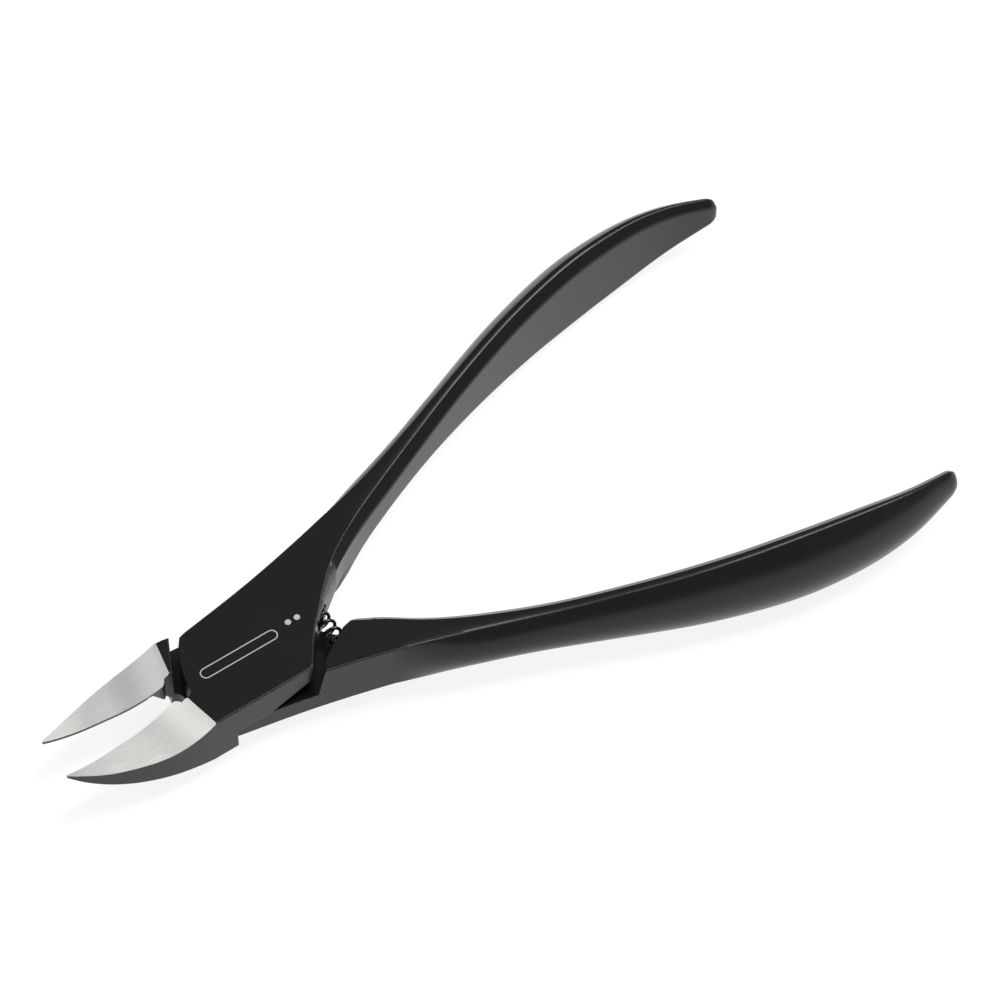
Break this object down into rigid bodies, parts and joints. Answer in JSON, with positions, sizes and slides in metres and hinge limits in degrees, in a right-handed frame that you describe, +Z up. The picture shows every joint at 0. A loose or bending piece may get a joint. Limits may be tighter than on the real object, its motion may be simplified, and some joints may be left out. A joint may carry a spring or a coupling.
{
  "type": "lap-joint nail nipper",
  "caption": "Black nail nipper with curved pointed ground jaws, a screwed lap joint, a coil return spring and long bowed handles.",
  "frame": {"origin": "middle of the footprint of the open tool, on the surface it lies on", "axes": "+X from the jaws to the handle ends, +Y across to the front lever's handle, +Z up out of the front plate, along the pivot"},
  "size_m": [0.1301, 0.067, 0.014],
  "materials": {
    "black_coat": "satin black coating on forged stainless steel",
    "screw_steel": "satin black coated steel screw",
    "spring_steel": "plain drawn spring wire"
  },
  "bodies": {
    "front_lever": {"front_lever": "black_coat", "pivot_screw": "screw_steel", "return_spring": "spring_steel"},
    "rear_lever": {"rear_lever": "black_coat"}
  },
  "joints": [
    {"name": "pivot", "type": "hinge", "parent": "front_lever", "child": "rear_lever", "pos_m": [-0.033, 0, 0.007], "axis": [0, 0, 1], "range_deg": [0, 10.8], "stiffness_Nm_per_rad": 1, "springref_deg": -5.73, "deforming": ["return_spring"]}
  ]
}
